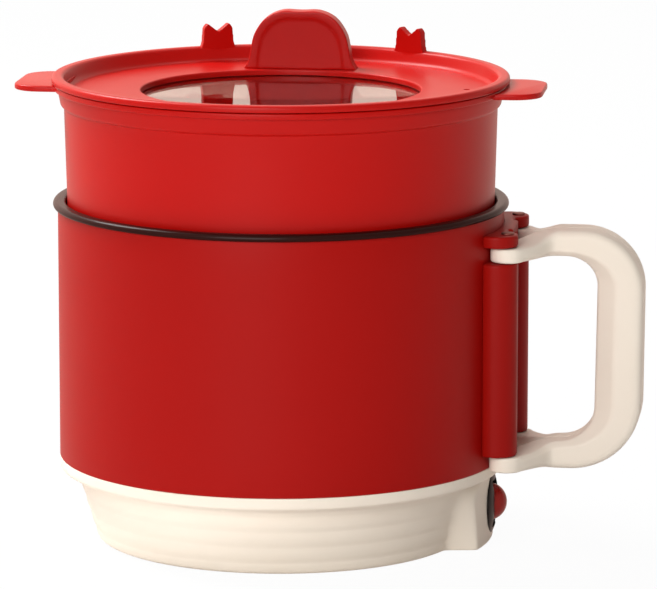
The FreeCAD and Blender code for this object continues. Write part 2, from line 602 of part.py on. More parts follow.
def make_steamer():
    tub = new_body("SteamerTub")
    wall = dim.tubWall
    inner_low = dim.tubLower - wall
    floor_top = dim.tubFloor + wall
    step_top = dim.tubStep + wall
    revolve(tub, "TubForm", [
        (0, dim.tubFloor), (dim.tubLower - 3, dim.tubFloor, 3), (dim.tubLower, dim.tubFloor + 3),
        (dim.tubLower, dim.tubStep), (dim.tubBottomRadius, dim.tubStep), (dim.tubTopRadius, dim.tubShoulder),
        (dim.collarRadius, dim.collarBottom), (dim.collarRadius, dim.tubFlangeBottom),
        (dim.flangeRadius, dim.tubFlangeBottom), (dim.flangeRadius, dim.tubTop), (0, dim.tubTop)])
    for side in (0, 180):
        ear = sketch_on(tub, "XY_Plane", f"EarSketch{side}", dim.tubFlangeBottom,
                        FreeCAD.Rotation(FreeCAD.Vector(0, 0, 1), side))
        outline(ear, rounded_block((dim.collarRadius - 12, -dim.earHalf), (dim.earReach, dim.earHalf),
                                   dim.earCorner))
        pad(tub, f"Ear{side}", ear, dim.tubTop - dim.tubFlangeBottom)
    revolve(tub, "TubCavity", [
        (0, floor_top), (inner_low - 2, floor_top, 2), (inner_low, floor_top + 2), (inner_low, step_top),
        (dim.tubBottomRadius - wall, step_top), (dim.tubTopRadius - wall, dim.tubShoulder),
        (dim.tubMouth, dim.collarBottom), (dim.tubMouth, dim.tubTop + 1), (0, dim.tubTop + 1)],
        "PartDesign::Groove")
    for ring, count in ((1, 6), (2, 12), (3, 18)):
        drain = sketch_on(tub, "XY_Plane", f"DrainSketch{ring}", floor_top + 1)
        ring_hole(drain, dim.drainPitch * ring, 0, dim.drainRadius)
        hole = pocket(tub, f"Drain{ring}", drain, wall + 2)
        doc.recompute()
        polar(tub, f"DrainRing{ring}", hole, count)
    keep(tub, "steamer_tub")


def make_lid():
    lid = new_body("LidRing")
    under = dim.lidFloor - dim.lidFloorThick
    turn = dim.lidRound
    revolve(lid, "LidForm", [
        (dim.windowRadius, under), (dim.lidSkirt, under), (dim.lidSkirt, dim.lidEdgeBottom),
        (dim.lidRadius, dim.lidEdgeBottom), (dim.lidRadius, dim.lidTop - turn, turn),
        (dim.lidRadius - turn, dim.lidTop), (dim.lidRimInner, dim.lidTop), (dim.lidFloorRadius, dim.lidFloor),
        (dim.windowRadius, dim.lidFloor)])
    for side, name in ((-1, "Left"), (1, "Right")):
        angle = DIMENSIONS["lugAngle"] * side
        across, back = on_ring(dim.lugReach, 90 - angle)
        lug = sketch_on(lid, "XZ_Plane", f"LugSketch{name}", -back,
                        FreeCAD.Rotation(FreeCAD.Vector(0, 1, 0), -angle), (across, 0.0))
        root = dim.lidFloor - 0.4
        shoulder = dim.lugTop - 1
        outline(lug, [(-dim.lugBase, root), (dim.lugBase, root), (dim.lugShoulder, shoulder),
                      (dim.lugTip, dim.lugTop), (0, dim.lugTop - dim.lugNotch), (-dim.lugTip, dim.lugTop),
                      (-dim.lugShoulder, shoulder)])
        pad(lid, f"Lug{name}", lug, dim.lugThick)
    vents = sketch_on(lid, "XY_Plane", "LidHoleSketch", dim.lidFloor + 1)
    ring_hole(vents, dim.ventAcross, dim.ventBack, dim.ventRadius)
    for side in (-1, 1):
        ring_hole(vents, dim.pegSpread * side, dim.pegBack, dim.pegRadius + 0.1)
    pocket(lid, "LidHoles", vents, dim.lidFloorThick + 2)
    blind = sketch_on(lid, "XY_Plane", "RetainerHoleSketch", under)
    for angle in PAD_ANGLES:
        ring_hole(blind, *on_ring(dim.retainerScrewRing, angle), dim.retainerScrew + 0.05)
    pocket(lid, "RetainerHoles", blind, dim.lidFloorThick - 0.6, backwards=True)
    keep(lid, "lid_ring")

    tab = new_body("LidTab")
    face = sketch_on(tab, "XZ_Plane", "TabSketch", -dim.tabFront - dim.tabThick)
    outline(face, tab_outline(0.0, dim.lidFloor))
    pad(tab, "TabForm", face, dim.tabThick)
    dish = sketch_on(tab, "XZ_Plane", "DishSketch", -dim.tabFront)
    outline(dish, tab_outline(dim.tabBorder, dim.lidFloor - 1))
    pocket(tab, "TabDish", dish, dim.tabDish)
    pegs = sketch_on(tab, "XY_Plane", "PegSketch", dim.lidFloor)
    for side in (-1, 1):
        ring_hole(pegs, dim.pegSpread * side, dim.pegBack, dim.pegRadius)
    pad(tab, "Pegs", pegs, dim.pegLength, backwards=True)
    keep(tab, "lid_tab")

    glass_bottom = dim.glassTop - dim.glassThick
    keep(cylinder("WindowGlass", dim.glassRadius, dim.glassThick, (0, 0, glass_bottom)), "window_glass")
    gasket = new_body("WindowGasket")
    revolve(gasket, "GasketForm", [(dim.gasketInner, dim.glassTop), (dim.glassRadius, dim.glassTop),
                                   (dim.glassRadius, under), (dim.gasketInner, under)])
    keep(gasket, "window_gasket")
    retainer = new_body("GlassRetainer")
    low = glass_bottom - dim.retainerThick
    revolve(retainer, "RetainerForm", [
        (dim.retainerInner, low), (dim.retainerOuter, low), (dim.retainerOuter, under),
        (dim.retainerSeat, under), (dim.retainerSeat, glass_bottom), (dim.retainerInner, glass_bottom)])
    holes = sketch_on(retainer, "XY_Plane", "RetainerScrewSketch", under + 1)
    for angle in PAD_ANGLES:
        ring_hole(holes, *on_ring(dim.retainerScrewRing, angle), dim.retainerScrew + 0.05)
    pocket(retainer, "RetainerScrewHoles", holes, dim.lidFloor - low)
    keep(retainer, "glass_retainer")
    screws = []
    for angle in PAD_ANGLES:
        across, back = on_ring(dim.retainerScrewRing, angle)
        head = cylinder(f"RetainerHead{angle}", dim.retainerScrew + 1, 1, (across, back, low - 1))
        shank = cylinder(f"RetainerShank{angle}", dim.retainerScrew, dim.lidFloor - dim.shankGap - low,
                         (across, back, low - 0.5))
        screws.append(fuse(f"RetainerScrew{angle}", head, shank))
    keep(group("RetainerScrews", screws), "retainer_screws")


def tab_outline(inset, bottom):
    """Tab seen from the front: wide foot, round shoulders and two low lobes with a notch between them."""
    foot = dim.tabBaseHalf - inset
    head = dim.tabTopHalf - inset
    top = dim.tabTop - inset
    round_size = dim.tabShoulder - inset
    shoulder = top - round_size
    waist = head + round_size * 0.3
    lobe = dim.tabTopHalf * 0.34
    return [(-foot, bottom), (foot, bottom), (waist, shoulder, round_size * 1.2),
            (head - round_size * 0.5, top), (lobe, top), (0, top - dim.tabNotch), (-lobe, top),
            (round_size * 0.5 - head, top, round_size * 1.2), (-waist, shoulder)]


make_base_shell()
make_base_plate()
make_body_and_pot()
make_heater()
make_switch()
make_inlet()
make_bracket()
make_handle()
make_steamer()
make_lid()
doc.recompute()

for obj in doc.Objects:
    if {"Invalid", "Error"} & set(obj.State):
        raise RuntimeError(f"{obj.Name} failed: {obj.State}")
for obj in parts:
    if obj.Shape.isNull() or not obj.Shape.isValid() or obj.Shape.Volume <= 0:
        raise RuntimeError(f"{obj.Label} has no valid shape")

os.makedirs("parts", exist_ok=True)
for obj in parts:
    obj.Shape.exportStep(os.path.join("parts", obj.Label + ".step"))
    limits = obj.Shape.BoundBox
    print(f"{obj.Label}: {len(obj.Shape.Solids)} solid(s), {obj.Shape.Volume:.0f} mm3, "
          f"x {limits.XMin:.1f} to {limits.XMax:.1f}, y {limits.YMin:.1f} to {limits.YMax:.1f}, "
          f"z {limits.ZMin:.1f} to {limits.ZMax:.1f}")
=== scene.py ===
import math

import bmesh
import bpy
from mathutils import Matrix, Vector


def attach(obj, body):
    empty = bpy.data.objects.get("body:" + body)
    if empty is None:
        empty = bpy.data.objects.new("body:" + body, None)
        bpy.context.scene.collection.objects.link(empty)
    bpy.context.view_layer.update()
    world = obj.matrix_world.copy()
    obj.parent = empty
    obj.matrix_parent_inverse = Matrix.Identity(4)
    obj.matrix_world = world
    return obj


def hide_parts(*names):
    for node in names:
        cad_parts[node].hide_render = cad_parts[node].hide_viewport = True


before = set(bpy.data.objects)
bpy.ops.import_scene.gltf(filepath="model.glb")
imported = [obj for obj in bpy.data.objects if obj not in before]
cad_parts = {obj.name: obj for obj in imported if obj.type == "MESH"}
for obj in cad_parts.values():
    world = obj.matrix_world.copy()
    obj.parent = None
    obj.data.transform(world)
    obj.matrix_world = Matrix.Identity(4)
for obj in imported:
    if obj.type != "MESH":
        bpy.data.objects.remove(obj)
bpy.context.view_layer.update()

mm = 0.001  # pieces are drawn in millimetres and scaled once, when they are finished
print("frame loaded with", len(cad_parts), "nodes")


# drawing helpers

def wire(points, closed=True, plane="XZ", segments=6):
    # a point is (across, up) or (across, up, rounding)
    bm = bmesh.new()
    corners = []
    for point in points:
        across, up = point[0], point[1]
        corners.append(bm.verts.new((across, 0, up) if plane == "XZ" else (across, up, 0)))
    for first, second in zip(corners, corners[1:]):
        bm.edges.new((first, second))
    if closed:
        bm.edges.new((corners[-1], corners[0]))
    roundings = {}
    for corner, point in zip(corners, points):
        if len(point) > 2:
            roundings.setdefault(point[2], []).append(corner)
    for size, group in roundings.items():
        bmesh.ops.bevel(bm, geom=group, offset=size, offset_type="OFFSET", affect="VERTICES",
                        segments=segments, profile=0.5, material=-1)
    return bm


def spun(points, closed=True, steps=192, segments=6, cuts=0):
    bm = wire(points, closed, segments=segments)
    if cuts:
        bmesh.ops.subdivide_edges(bm, edges=[e for e in bm.edges if e.calc_length() > 1.2], cuts=cuts)
    bmesh.ops.spin(bm, geom=bm.verts[:] + bm.edges[:], cent=(0, 0, 0), axis=(0, 0, 1),
                   angle=math.tau, steps=steps, use_merge=True, use_duplicate=False)
    bmesh.ops.remove_doubles(bm, verts=bm.verts[:], dist=1e-4)
    bmesh.ops.recalc_face_normals(bm, faces=bm.faces[:])
    return bm


def plate(points, depth, plane="XZ", segments=6):
    # a filled outline pulled out by depth: along +Y for a front view, along +Z for a plan
    bm = wire(points, True, plane, segments)
    bmesh.ops.contextual_create(bm, geom=bm.edges[:])
    pulled = bmesh.ops.extrude_face_region(bm, geom=bm.faces[:], use_keep_orig=True)
    moved = [item for item in pulled["geom"] if isinstance(item, bmesh.types.BMVert)]
    bmesh.ops.translate(bm, verts=moved, vec=(0, depth, 0) if plane == "XZ" else (0, 0, depth))
    bmesh.ops.recalc_face_normals(bm, faces=bm.faces[:])
    return bm


def softEdges(bm, size, segments=3, chosen=None):
    edges = [e for e in bm.edges if len(e.link_faces) == 2 and e.calc_face_angle() > 0.6]
    if chosen:
        edges = [e for e in edges if chosen(e)]
    bmesh.ops.bevel(bm, geom=edges, offset=size, offset_type="OFFSET", affect="EDGES",
                    segments=segments, profile=0.5, material=-1, clamp_overlap=False)
    return bm


def rod(radius, low, high, segments=48):
    bm = bmesh.new()
    bmesh.ops.create_cone(bm, cap_ends=True, segments=segments, radius1=radius, radius2=radius,
                          depth=high - low, matrix=Matrix.Translation((0, 0, (low + high) / 2)))
    return bm


def block(low, high):
    bm = bmesh.new()
    bmesh.ops.create_cube(bm, size=1)
    size = [b - a for a, b in zip(low, high)]
    middle = [(a + b) / 2 for a, b in zip(low, high)]
    bmesh.ops.scale(bm, vec=size, verts=bm.verts[:])
    bmesh.ops.translate(bm, vec=middle, verts=bm.verts[:])
    return bm


def placed(bm, shift=(0, 0, 0), turn=0, axis="Z"):
    bmesh.ops.rotate(bm, cent=(0, 0, 0), matrix=Matrix.Rotation(math.radians(turn), 3, axis),
                     verts=bm.verts[:])
    bmesh.ops.translate(bm, vec=shift, verts=bm.verts[:])
    return bm


def gathered(*shapes):
    whole = bmesh.new()
    for bm in shapes:
        mesh = bpy.data.meshes.new("making")
        bm.to_mesh(mesh)
        bm.free()
        whole.from_mesh(mesh)
        bpy.data.meshes.remove(mesh)
    return whole


def workObject(bm):
    mesh = bpy.data.meshes.new("making")
    bm.to_mesh(mesh)
    bm.free()
    work = bpy.data.objects.new("making", mesh)
    bpy.context.scene.collection.objects.link(work)
    return work


def finishedMesh(*works):
    # the first work object with its modifiers applied; all of them are thrown away
    depsgraph = bpy.context.evaluated_depsgraph_get()
    result = bpy.data.meshes.new_from_object(works[0].evaluated_get(depsgraph))
    bm = bmesh.new()
    bm.from_mesh(result)
    bpy.data.meshes.remove(result)
    for work in works:
        bpy.data.meshes.remove(work.data)
    return bm


def combined(bm, tool, operation):
    work, other = workObject(bm), workObject(tool)
    step = work.modifiers.new("Combine", "BOOLEAN")
    step.operation, step.object, step.solver = operation, other, "EXACT"
    return finishedMesh(work, other)


def melted(bm, voxel, smoothing):
    # overlapping shapes become one skin with soft inner and outer corners
    work = workObject(bm)
    skin = work.modifiers.new("Skin", "REMESH")
    skin.mode, skin.voxel_size = "VOXEL", voxel
    soften = work.modifiers.new("Soften", "SMOOTH")
    soften.factor, soften.iterations = 0.5, smoothing
    return finishedMesh(work)


def newPiece(name, bm, body, slotName, material, *nodes, sharpAngle=45):
    bmesh.ops.scale(bm, vec=(mm, mm, mm), verts=bm.verts[:])
    mesh = bpy.data.meshes.new(name)
    bm.to_mesh(mesh)
    bm.free()
    mesh.validate()
    mesh.shade_smooth()
    mesh.set_sharp_from_angle(angle=math.radians(sharpAngle))
    mesh.materials.clear()
    mesh.materials.append(material)
    piece = bpy.data.objects.new(name, mesh)
    bpy.context.scene.collection.objects.link(piece)
    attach(piece, body)
    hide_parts(*nodes)
    return piece


# finishes

def paint(red, green, blue):
    # screen colour 0 to 255 to linear light
    levels = [value / 255 for value in (red, green, blue)]
    return tuple(x / 12.92 if x <= 0.04045 else ((x + 0.055) / 1.055) ** 2.4 for x in levels) + (1.0,)


def nodeGroup(name, inputs, outputs):
    group = bpy.data.node_groups.new(name, "ShaderNodeTree")
    for label, kind, value in inputs:
        socket = group.interface.new_socket(name=label, in_out="INPUT", socket_type=kind)
        if value is not None:
            socket.default_value = value
    for label, kind in outputs:
        group.interface.new_socket(name=label, in_out="OUTPUT", socket_type=kind)
    return group, group.nodes.new("NodeGroupInput"), group.nodes.new("NodeGroupOutput")


def mathNode(tree, operation, first, second=None, third=None):
    node = tree.nodes.new("ShaderNodeMath")
    node.operation = operation
    for socket, value in zip(node.inputs, (first, second, third)):
        if value is None:
            continue
        if isinstance(value, (int, float)):
            socket.default_value = value
        else:
            tree.links.new(value, socket)
    return node.outputs[0]


def noiseNode(tree, vector, scale, detail=2.0, roughness=0.5):
    node = tree.nodes.new("ShaderNodeTexNoise")
    node.inputs["Detail"].default_value = detail
    node.inputs["Roughness"].default_value = roughness
    tree.links.new(vector, node.inputs["Vector"])
    if isinstance(scale, (int, float)):
        node.inputs["Scale"].default_value = scale
    else:
        tree.links.new(scale, node.inputs["Scale"])
    return node.outputs[0]


def mixColour(tree, factor, first, second):
    node = tree.nodes.new("ShaderNodeMix")
    node.data_type = "RGBA"
    for socket, value in ((node.inputs[0], factor), (node.inputs[6], first), (node.inputs[7], second)):
        if isinstance(value, (int, float, tuple)):
            socket.default_value = value
        else:
            tree.links.new(value, socket)
    return node.outputs[2]


def buildSurfaceGroup():
    # moulded or sprayed skin: fine grain, cloudy tone, faint rubbing on edges
    group, given, result = nodeGroup("MouldedSkin", [
        ("Vector", "NodeSocketVector", None), ("Colour", "NodeSocketColor", None),
        ("Shade", "NodeSocketColor", None), ("Grain Scale", "NodeSocketFloat", 2600.0),
        ("Cloud Scale", "NodeSocketFloat", 26.0), ("Cloud", "NodeSocketFloat", 0.4),
        ("Gloss", "NodeSocketFloat", 0.35), ("Gloss Spread", "NodeSocketFloat", 0.08),
        ("Rub", "NodeSocketFloat", 0.3)],
        [("Colour", "NodeSocketColor"), ("Roughness", "NodeSocketFloat"), ("Height", "NodeSocketFloat")])
    sockets = given.outputs
    grain = noiseNode(group, sockets["Vector"], sockets["Grain Scale"], 3.0, 0.6)
    cloud = noiseNode(group, sockets["Vector"], sockets["Cloud Scale"], 4.0, 0.55)
    streak = noiseNode(group, sockets["Vector"], 140.0, 5.0, 0.6)
    pointy = group.nodes.new("ShaderNodeNewGeometry").outputs["Pointiness"]
    edge = group.nodes.new("ShaderNodeMapRange")
    edge.inputs["From Min"].default_value, edge.inputs["From Max"].default_value = 0.52, 0.62
    group.links.new(pointy, edge.inputs["Value"])
    rubbed = mathNode(group, "MULTIPLY", edge.outputs[0], mathNode(group, "MULTIPLY", streak, sockets["Rub"]))
    tone = mathNode(group, "MULTIPLY", cloud, sockets["Cloud"])
    body = mixColour(group, tone, sockets["Colour"], sockets["Shade"])
    pale = group.nodes.new("ShaderNodeHueSaturation")
    pale.inputs["Value"].default_value, pale.inputs["Saturation"].default_value = 1.25, 0.92
    group.links.new(body, pale.inputs["Color"])
    group.links.new(mixColour(group, rubbed, body, pale.outputs[0]), result.inputs["Colour"])
    uneven = mathNode(group, "MULTIPLY", mathNode(group, "SUBTRACT", cloud, 0.5), sockets["Gloss Spread"])
    fine = mathNode(group, "MULTIPLY_ADD", mathNode(group, "SUBTRACT", grain, 0.5), 0.06, sockets["Gloss"])
    group.links.new(mathNode(group, "ADD", fine, uneven), result.inputs["Roughness"])
    group.links.new(mathNode(group, "MULTIPLY_ADD", cloud, 0.15, grain), result.inputs["Height"])
    return group


def buildMetalGroup():
    # drawn or turned metal: fine lines along Z, with dull patches
    group, given, result = nodeGroup("WorkedMetal", [
        ("Vector", "NodeSocketVector", None), ("Colour", "NodeSocketColor", None),
        ("Shade", "NodeSocketColor", None), ("Line Scale", "NodeSocketFloat", 900.0),
        ("Gloss", "NodeSocketFloat", 0.3)],
        [("Colour", "NodeSocketColor"), ("Roughness", "NodeSocketFloat"), ("Height", "NodeSocketFloat")])
    sockets = given.outputs
    squeeze = group.nodes.new("ShaderNodeMapping")
    squeeze.inputs["Scale"].default_value = (1.0, 1.0, 0.04)
    group.links.new(sockets["Vector"], squeeze.inputs["Vector"])
    lines = noiseNode(group, squeeze.outputs[0], sockets["Line Scale"], 4.0, 0.65)
    patch = noiseNode(group, sockets["Vector"], 60.0, 3.0, 0.5)
    group.links.new(mixColour(group, patch, sockets["Colour"], sockets["Shade"]), result.inputs["Colour"])
    rough = mathNode(group, "MULTIPLY_ADD", lines, 0.18, sockets["Gloss"])
    group.links.new(mathNode(group, "MULTIPLY_ADD", patch, 0.08, rough), result.inputs["Roughness"])
    group.links.new(lines, result.inputs["Height"])
    return group


skinGroup = buildSurfaceGroup()
metalGroup = buildMetalGroup()


def finish(name, group, settings, bump, plain):
    material = bpy.data.materials.new(name)
    material.use_nodes = True
    tree = material.node_tree
    shader = tree.nodes["Principled BSDF"]
    where = tree.nodes.new("ShaderNodeTexCoord")
    skin = tree.nodes.new("ShaderNodeGroup")
    skin.node_tree = group
    for label, value in settings.items():
        skin.inputs[label].default_value = value
    tree.links.new(where.outputs["Object"], skin.inputs["Vector"])
    tree.links.new(skin.outputs["Colour"], shader.inputs["Base Color"])
    tree.links.new(skin.outputs["Roughness"], shader.inputs["Roughness"])
    relief = tree.nodes.new("ShaderNodeBump")
    relief.inputs["Strength"].default_value = bump
    relief.inputs["Distance"].default_value = 0.00008
    tree.links.new(skin.outputs["Height"], relief.inputs["Height"])
    tree.links.new(relief.outputs[0], shader.inputs["Normal"])
    for label, value in plain.items():
        shader.inputs[label].default_value = value
    material.diffuse_color = settings["Colour"]
    return material


redPlastic = finish("RedPlastic", skinGroup, {
    "Colour": paint(178, 11, 6), "Shade": paint(168, 8, 4), "Gloss": 0.35, "Rub": 0.35}, 0.12,
    {"IOR": 1.5, "Specular IOR Level": 0.15})
redEnamel = finish("RedEnamel", skinGroup, {
    "Colour": paint(158, 9, 4), "Shade": paint(149, 7, 3), "Gloss": 0.42, "Grain Scale": 3200.0,
    "Rub": 0.2}, 0.15, {"IOR": 1.5, "Specular IOR Level": 0.11})
bracketRed = finish("RedBracket", skinGroup, {
    "Colour": paint(146, 13, 7), "Shade": paint(138, 10, 5), "Gloss": 0.42, "Rub": 0.3}, 0.12,
    {"IOR": 1.5, "Specular IOR Level": 0.1})
creamPlastic = finish("CreamPlastic", skinGroup, {
    "Colour": paint(237, 226, 211), "Shade": paint(230, 216, 197), "Gloss": 0.45, "Rub": 0.2}, 0.12,
    {"IOR": 1.48, "Specular IOR Level": 0.2})
# dark coated pot and rim: near black with a red tint; the red tint is partly a painted reflection of the red
# tub and body around the rim
darkCoating = finish("DarkCoating", skinGroup, {
    "Colour": paint(36, 9, 8), "Shade": paint(44, 18, 14), "Gloss": 0.3, "Grain Scale": 1800.0,
    "Rub": 0.3}, 0.3, {"IOR": 1.5, "Specular IOR Level": 0.05, "Coat Weight": 0.06, "Coat Roughness": 0.12})
blackPlastic = finish("BlackPlastic", skinGroup, {
    "Colour": paint(16, 14, 14), "Shade": paint(24, 21, 21), "Gloss": 0.38}, 0.12,
    {"IOR": 1.5, "Specular IOR Level": 0.15})
switchRed = finish("SwitchRed", skinGroup, {
    "Colour": paint(150, 22, 16), "Shade": paint(138, 18, 13), "Gloss": 0.25}, 0.06,
    {"IOR": 1.5, "Specular IOR Level": 0.25})
greyRubber = finish("GreyRubber", skinGroup, {
    "Colour": paint(52, 50, 49), "Shade": paint(40, 39, 38), "Gloss": 0.68}, 0.4, {"IOR": 1.5})
leadBrown = finish("LeadBrown", skinGroup, {
    "Colour": paint(104, 62, 36), "Shade": paint(90, 52, 30), "Gloss": 0.4}, 0.1, {"IOR": 1.5})
leadBlue = finish("LeadBlue", skinGroup, {
    "Colour": paint(44, 84, 150), "Shade": paint(36, 70, 130), "Gloss": 0.4}, 0.1, {"IOR": 1.5})
glassSleeve = finish("GlassSleeve", skinGroup, {
    "Colour": paint(226, 222, 208), "Shade": paint(196, 190, 172), "Gloss": 0.7, "Grain Scale": 1400.0,
    "Cloud": 0.7}, 0.6, {"IOR": 1.5})
castAluminium = finish("CastAluminium", metalGroup, {
    "Colour": paint(190, 190, 188), "Shade": paint(168, 168, 168), "Gloss": 0.4}, 0.35, {"Metallic": 1.0})
elementSteel = finish("ElementSteel", metalGroup, {
    "Colour": paint(120, 116, 112), "Shade": paint(98, 92, 88), "Gloss": 0.45}, 0.3, {"Metallic": 1.0})
zincSteel = finish("ZincSteel", metalGroup, {
    "Colour": paint(196, 196, 194), "Shade": paint(176, 176, 172), "Gloss": 0.25}, 0.2, {"Metallic": 1.0})
# hinge pin steel: its dark red tint is a painted reflection of the red bracket and body around the pins
steelPaintedReflection = finish("SteelPaintedReflection", metalGroup, {
    "Colour": paint(126, 84, 78), "Shade": paint(104, 66, 60), "Gloss": 0.4}, 0.2, {"Metallic": 1.0})
brassPins = finish("BrassPins", metalGroup, {
    "Colour": paint(212, 178, 100), "Shade": paint(190, 154, 84), "Gloss": 0.25}, 0.2, {"Metallic": 1.0})
clearGlass = finish("ClearGlass", skinGroup, {
    "Colour": paint(246, 240, 232), "Shade": paint(238, 232, 222), "Gloss": 0.03, "Gloss Spread": 0.02,
    "Rub": 0.0}, 0.0, {"IOR": 1.52, "Transmission Weight": 1.0})
print("finishes made")


# base: a spun shell with soft ribs; the switch boss and the inlet boss are drawn out of its wall

baseSize = {"foot": 66.0, "lip": 0.4, "neck": 73.6, "neckTop": 25.2, "band": 80.0, "bandLow": 26.4,
            "bandTop": 30.6, "creases": (4.6, 10.5, 16.4, 22.3), "swell": 0.52, "mouth": 63.0,
            "mouthTop": 6.0, "cavity": 71.0, "collarOut": 77.8, "collarIn": 75.8, "collarTop": 34.0,
            "switchHole": 10.2, "holeFrom": 66.0, "holeTo": 80.0, "holeHeight": 14.0,
            "inletLow": (-15.2, 62.0, 6.3), "inletHigh": (15.2, 80.0, 21.7)}
# heights where the spun wall gets more rings, so that the bosses bend softly
bossRings = (0.55, 0.6, 0.7, 0.9, 1.2, 1.6, 2.1, 17.6, 18.6, 19.6, 20.8, 21.6, 22.8, 23.6, 24.4)
# a boss: its seat is flat, and a seat beyond the round leaves the whole nose round
switchBoss = {"turn": 0, "round": 76.6, "seat": 90.0, "half": 23.2, "spread": 9.5, "draft": (0.15, 0.45),
              "crease": 1.6, "melt": 6.0, "low": 0.6, "heel": 0.8, "top": 25.4, "arch": 8.0}
inletBoss = {"turn": 90, "round": 76.0, "seat": 74.0, "half": 18.6, "spread": 0.6, "draft": (0.0, 0.0),
             "crease": 3.0, "melt": 0.0, "low": 0.6, "heel": 1.6, "top": 25.4, "arch": 2.0}
bossFit = {"wall": 2.6, "root": 62.0, "blend": 2.2, "noseBlend": 0.8, "skin": 1.2, "overlap": 1.0}


def softMax(first, second, blend):
    shared = max(blend - abs(first - second), 0) / blend
    return max(first, second) + shared * shared * blend / 4


def softMin(first, second, blend):
    return -softMax(-first, -second, blend)


def bossRay(angle, boss, height, wall):
    # how far a ray from the axis runs inside the boss: nose, seat and two leaning cheeks
    across, up = math.cos(angle), max(abs(math.sin(angle)), 0.01)
    if across < 0.3:
        return 0.0
    arch = min(max((height - boss["top"]) / boss["arch"] + 1, 0), 1)
    heel = min(max(1 - (height - boss["low"]) / boss["heel"], 0), 1)
    tucked = wall + boss["heel"] * (1 - math.sqrt(1 - heel * heel))
    shoulder = 0.5 * boss["arch"] * (1 - math.sqrt(1 - arch * arch))
    rise = (height - boss["low"]) / (boss["top"] - boss["low"])
    cheek = boss["half"] + boss["spread"] * rise - shoulder - tucked
    lean = boss["draft"][0] + boss["draft"][1] * rise
    flank = (cheek + lean * bossFit["root"]) / (up + lean * across)
    nose = softMin(boss["round"] - tucked, (boss["seat"] - tucked) / across, bossFit["noseBlend"])
    return softMin(nose, flank, boss["crease"] + boss["melt"] * arch * arch)


def drawOutBoss(bm, boss, size):
    for vert in bm.verts:
        height = vert.co.z
        radius = math.hypot(vert.co.x, vert.co.y)
        rise = min(max((height - size["mouthTop"]) / (size["neckTop"] - size["mouthTop"]), 0), 1)
        inner = size["mouth"] + (size["cavity"] - size["mouth"]) * rise
        wall = 0 if radius > inner + bossFit["skin"] else bossFit["wall"]
        end = boss["top"] + (-bossFit["overlap"] if wall else bossFit["overlap"])
        if not boss["low"] + wall / 2 <= height <= end:
            continue
        far = bossRay(math.atan2(vert.co.y, vert.co.x) - math.radians(boss["turn"]), boss, height, wall)
        near = radius - bossFit["blend"]
        pushed = softMax(radius, far, bossFit["blend"]) if far > near else radius
        vert.co.x *= pushed / radius
        vert.co.y *= pushed / radius


def makeBase():
    size = baseSize
    outside = []
    flare = (size["neck"] - size["foot"]) / (size["neckTop"] - size["lip"])
    levels = (size["lip"],) + size["creases"] + (size["neckTop"],)
    for low, high in zip(levels, levels[1:]):
        foot, middle = size["foot"] + flare * (low - size["lip"]), (low + high) / 2
        outside.append((foot, low, 1.2 if low == size["lip"] else 0.45))
        if high - low > 4:
            outside.append((foot + flare * (middle - low) + size["swell"], middle, 1.6))
    profile = [(size["mouth"], size["lip"], 0.5)] + outside + [
        (size["neck"], size["neckTop"], 1.6), (size["band"], size["bandLow"], 1.1),
        (size["band"], size["bandTop"], 0.3), (size["collarOut"], size["bandTop"]),
        (size["collarOut"], size["collarTop"], 0.4), (size["collarIn"], size["collarTop"], 0.4),
        (size["collarIn"], size["bandTop"]), (size["cavity"], size["bandTop"], 0.4),
        (size["cavity"], size["neckTop"], 0.4), (size["mouth"], size["mouthTop"], 0.5)]
    bm = spun(profile, steps=640, segments=4, cuts=2)
    for height in bossRings:
        bmesh.ops.bisect_plane(bm, geom=bm.verts[:] + bm.edges[:] + bm.faces[:], plane_co=(0, 0, height),
                               plane_no=(0, 0, 1))
    for boss in (switchBoss, inletBoss):
        drawOutBoss(bm, boss, size)
    hole = rod(size["switchHole"], size["holeFrom"], size["holeTo"])
    bm = combined(bm, placed(hole, (0, 0, size["holeHeight"]), 90, "Y"), "DIFFERENCE")
    bm = combined(bm, block(size["inletLow"], size["inletHigh"]), "DIFFERENCE")
    bmesh.ops.recalc_face_normals(bm, faces=bm.faces[:])
    newPiece("BaseShell", bm, "pot", "cream_plastic", creamPlastic, "base_shell", sharpAngle=50)


makeBase()
print("base made")


# body and pot; a profile runs from the outside to the inside

bodySize = {"radius": 80.0, "inside": 78.2, "low": 30.6, "top": 121.0}
potSize = {"outside": [(0, 35.0), (74.2, 35.0, 9.2), (74.2, 110.8, 0.4), (77.9, 110.8, 0.3),
                       (77.9, 121.0, 0.2)],
           "rim": [(81.7, 121.0, 0.9), (81.7, 123.4, 1.4), (77.1, 123.4, 1.2)],
           "inside": [(77.1, 112.0, 0.4), (73.0, 112.0, 0.6), (73.0, 36.2, 8.0), (0, 36.2)]}


def makeBodyAndPot():
    body = bodySize
    shell = spun([(body["inside"], body["low"], 0.2), (body["radius"], body["low"], 0.4),
                  (body["radius"], body["top"], 0.3), (body["inside"], body["top"], 0.2)],
                 steps=256, cuts=6)
    newPiece("BodyShell", shell, "pot", "red_enamel", redEnamel, "body_shell")
    pot = spun(potSize["outside"] + potSize["rim"] + potSize["inside"], closed=False, steps=256, cuts=2)
    newPiece("InnerPot", pot, "pot", "dark_coating", darkCoating, "inner_pot")


makeBodyAndPot()
print("body and pot made")


# steamer tub: flange, collar, two ears and a pierced floor

